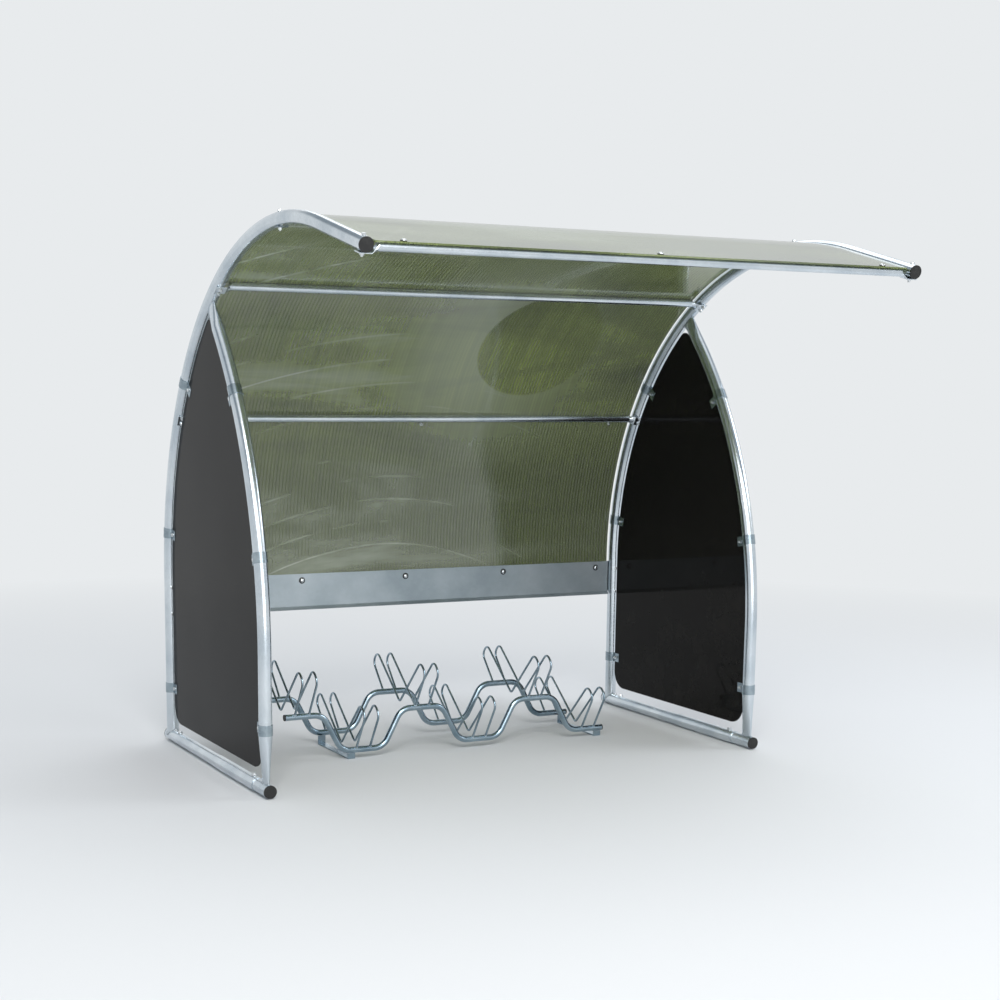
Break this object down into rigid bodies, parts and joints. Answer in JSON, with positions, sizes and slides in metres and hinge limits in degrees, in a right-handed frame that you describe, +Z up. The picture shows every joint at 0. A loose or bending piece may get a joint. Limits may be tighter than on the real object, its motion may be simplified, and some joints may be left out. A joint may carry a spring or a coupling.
{
  "type": "bike shelter",
  "caption": "Open bike shelter: curved galvanised tube frames carry one clear roof sheet and tinted side panels over a high and low cycle rack",
  "frame": {"origin": "centre of the footprint, on the ground", "axes": "+X along the shelter between its two side frames, +Y towards the back rail, +Z up"},
  "size_m": [2.205, 2.0835, 2.0749],
  "materials": {
    "galvanised_steel": "satin zinc",
    "black_plastic": "matte",
    "clear_sheet": "clear fluted sheet",
    "tinted_sheet": "gloss smoke tint"
  },
  "bodies": {
    "root": {"left_hoop": "galvanised_steel", "right_hoop": "galvanised_steel", "left_strut": "galvanised_steel", "right_strut": "galvanised_steel", "left_base_tube": "galvanised_steel", "right_base_tube": "galvanised_steel", "left_base_sleeve": "galvanised_steel", "right_base_sleeve": "galvanised_steel", "front_crossbar": "galvanised_steel", "upper_crossbar": "galvanised_steel", "mid_crossbar": "galvanised_steel", "rear_rail": "galvanised_steel", "left_hoop_clips": "galvanised_steel", "right_hoop_clips": "galvanised_steel", "left_strut_clips": "galvanised_steel", "right_strut_clips": "galvanised_steel", "sheet_clips": "galvanised_steel", "rack_front_tube": "galvanised_steel", "rack_rear_tube": "galvanised_steel", "rack_feet": "galvanised_steel", "wheel_holder_1": "galvanised_steel", "wheel_holder_2": "galvanised_steel", "wheel_holder_3": "galvanised_steel", "wheel_holder_4": "galvanised_steel", "wheel_holder_5": "galvanised_steel", "wheel_holder_6": "galvanised_steel", "base_caps": "black_plastic", "nose_caps": "black_plastic", "rack_caps": "black_plastic", "roof_sheet": "clear_sheet", "left_side_panel": "tinted_sheet", "right_side_panel": "tinted_sheet"}
  },
  "joints": []
}
